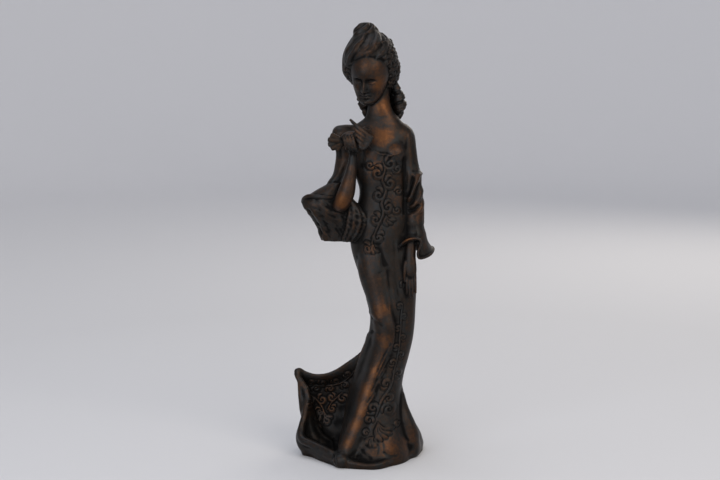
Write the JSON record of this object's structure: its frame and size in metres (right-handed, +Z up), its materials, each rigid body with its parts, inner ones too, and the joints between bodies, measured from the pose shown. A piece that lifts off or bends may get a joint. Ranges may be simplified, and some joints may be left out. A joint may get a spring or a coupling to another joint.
{
  "type": "bronze woman statue",
  "caption": "Standing bronze figure of a lady in a long embossed dress whose train spreads on the floor, with a small bird on her raised hand.",
  "frame": {"origin": "on the flat underside of the train, below the middle of the base, in the plane the statue stands on", "axes": "+X to the viewer's right when the figure is seen from the front, +Y away from the viewer, +Z up along the figure"},
  "size_m": [0.1317, 0.0963, 0.4002],
  "materials": {
    "bronze": "dark brown patina, satin, rubbed through to copper brown on raised places"
  },
  "bodies": {
    "root": {"bronze_woman_statue": "bronze"}
  },
  "joints": []
}
